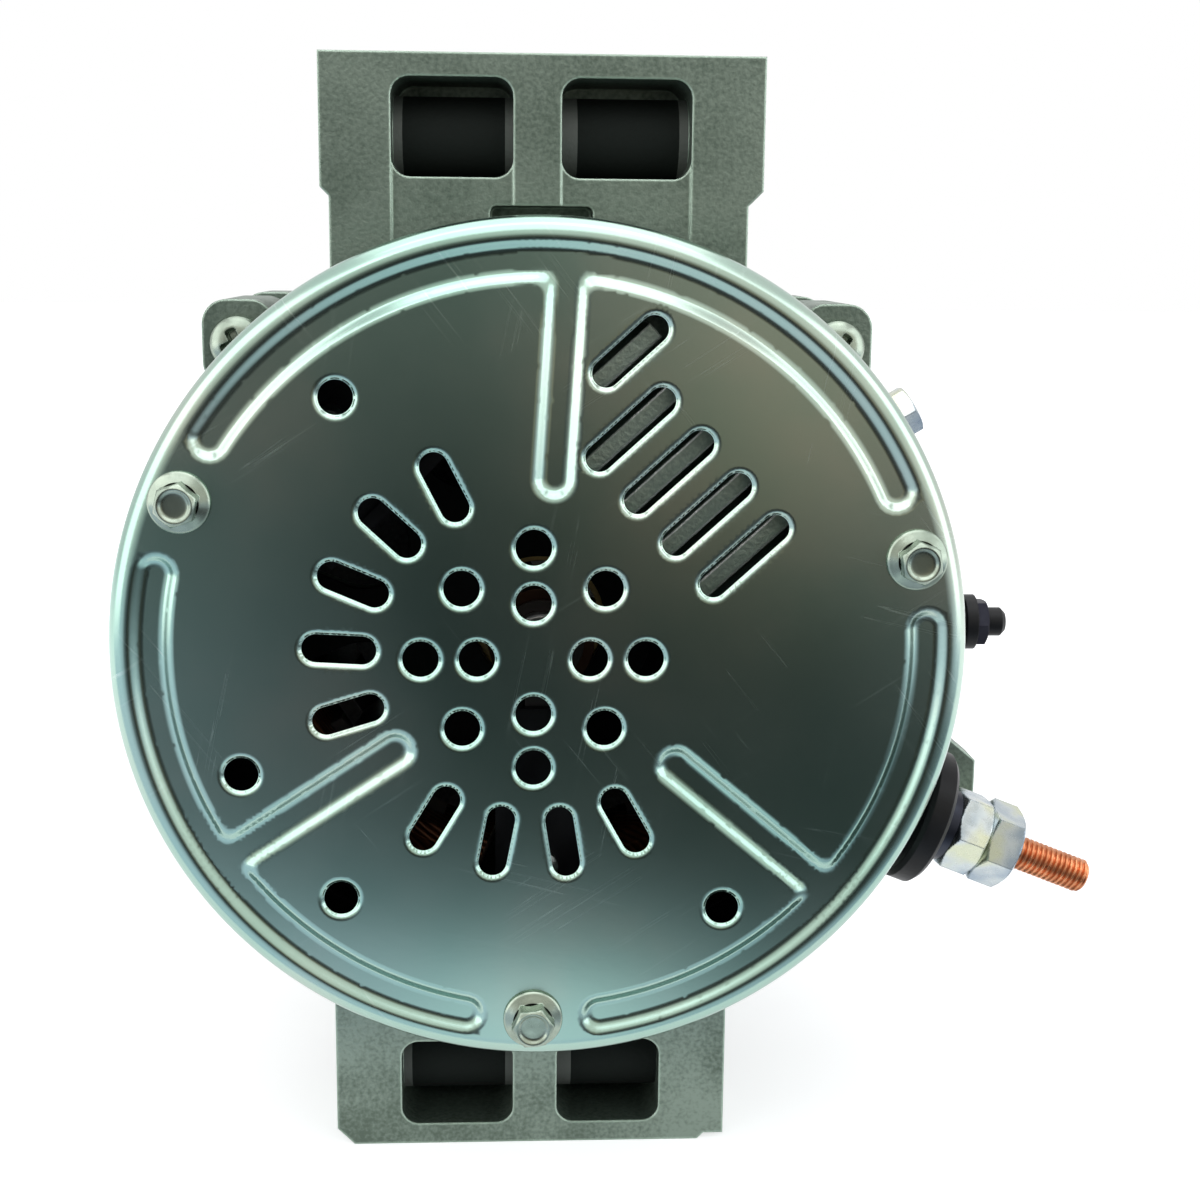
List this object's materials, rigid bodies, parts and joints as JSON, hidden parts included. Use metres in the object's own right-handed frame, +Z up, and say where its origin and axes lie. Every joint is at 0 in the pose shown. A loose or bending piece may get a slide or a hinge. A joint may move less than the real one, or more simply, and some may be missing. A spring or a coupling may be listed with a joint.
{
  "type": "alternator",
  "caption": "Heavy-duty pad-mount alternator with a vented sheet cover over the rectifier, two cast end frames, side output stud, fan and ribbed pulley.",
  "frame": {"origin": "on the shaft's axis, midway between the two rows of pad bolts", "axes": "+Y along the shaft towards the pulley, +Z up the mounting arms, -X out of the pad's machined faces"},
  "size_m": [0.2203, 0.2126, 0.247],
  "materials": {
    "zinc_sheet": "zinc-plated pressed sheet, dark and reflective with fine scratches",
    "zinc_fastener": "bright bluish zinc plating",
    "dark_fastener": "dark plated steel",
    "cast_aluminium": "satin sand-cast aluminium, mottled grey",
    "extruded_aluminium": "plain extruded aluminium",
    "laminated_steel": "stacked laminations",
    "copper_winding": "varnished copper wire",
    "bare_copper": "bare copper",
    "copper_stud": "copper-plated threaded stud",
    "plated_copper": "nickel-plated diode cups",
    "insulating_plastic": "moulded insulation",
    "black_plastic": "moulded black plastic",
    "potted_plastic": "resin-filled plastic case",
    "carbon": "pressed carbon and copper",
    "spring_steel": "drawn spring wire",
    "bearing_steel": "ground bearing steel",
    "cage_brass": "machined brass",
    "machined_steel": "turned steel",
    "pole_iron": "forged and turned iron"
  },
  "bodies": {
    "housing": {"rear_cover": "zinc_sheet", "cover_screws": "zinc_fastener", "through_screws": "zinc_fastener", "rear_frame": "cast_aluminium", "front_frame": "cast_aluminium", "stator_core": "laminated_steel", "stator_windings": "copper_winding", "rectifier_heat_sink": "extruded_aluminium", "positive_diodes": "plated_copper", "negative_diodes": "plated_copper", "phase_bars": "bare_copper", "stator_leads": "bare_copper", "rectifier_posts": "insulating_plastic", "rectifier_washers": "insulating_plastic", "rectifier_screws": "zinc_fastener", "output_strap": "bare_copper", "output_insulator": "black_plastic", "output_stud": "copper_stud", "output_washer": "zinc_fastener", "output_nut_inner": "zinc_fastener", "output_nut_outer": "zinc_fastener", "signal_insulator": "black_plastic", "signal_nut": "dark_fastener", "signal_stud": "black_plastic", "ground_screw": "zinc_fastener", "regulator": "potted_plastic", "regulator_screws": "zinc_fastener", "brush_holder": "black_plastic", "brush_holder_screw": "zinc_fastener", "brush_springs": "spring_steel", "rear_bearing_outer": "bearing_steel", "front_bearing_outer": "bearing_steel", "bearing_retainer": "zinc_sheet", "retainer_screws": "zinc_fastener"},
    "brush_pair": {"brushes": "carbon"},
    "rotor": {"rotor_shaft": "machined_steel", "rotor_pole_front": "pole_iron", "rotor_pole_rear": "pole_iron", "field_bobbin": "insulating_plastic", "field_coil": "copper_winding", "slip_ring_sleeve": "insulating_plastic", "slip_rings": "bare_copper", "rear_bearing_inner": "bearing_steel", "front_bearing_inner": "bearing_steel", "front_spacer": "machined_steel", "cooling_fan": "zinc_sheet", "pulley": "machined_steel", "pulley_washer": "zinc_fastener", "pulley_nut": "zinc_fastener"},
    "front_roller_train": {"front_rollers": "bearing_steel", "front_roller_cage": "cage_brass"},
    "rear_roller_train": {"rear_rollers": "bearing_steel", "rear_roller_cage": "cage_brass"}
  },
  "joints": [
    {"name": "rotor_spin", "type": "hinge", "parent": "housing", "child": "rotor", "pos_m": [0, 0, 0], "axis": [0, 1, 0], "continuous": true},
    {"name": "front_rollers_orbit", "type": "hinge", "parent": "housing", "child": "front_roller_train", "pos_m": [0, 0, 0], "axis": [0, 1, 0], "continuous": true},
    {"name": "rear_rollers_orbit", "type": "hinge", "parent": "housing", "child": "rear_roller_train", "pos_m": [0, 0, 0], "axis": [0, 1, 0], "continuous": true},
    {"name": "brush_travel", "type": "slide", "parent": "housing", "child": "brush_pair", "axis": [0, 0, -1], "range_m": [0, 0.003], "stiffness_N_per_m": 400, "springref_m": -0.004, "deforming": ["brush_springs"]}
  ],
  "couplings": [
    {"joint": "front_rollers_orbit", "follows": "rotor_spin", "ratio": 0.4107},
    {"joint": "rear_rollers_orbit", "follows": "rotor_spin", "ratio": 0.4153}
  ]
}
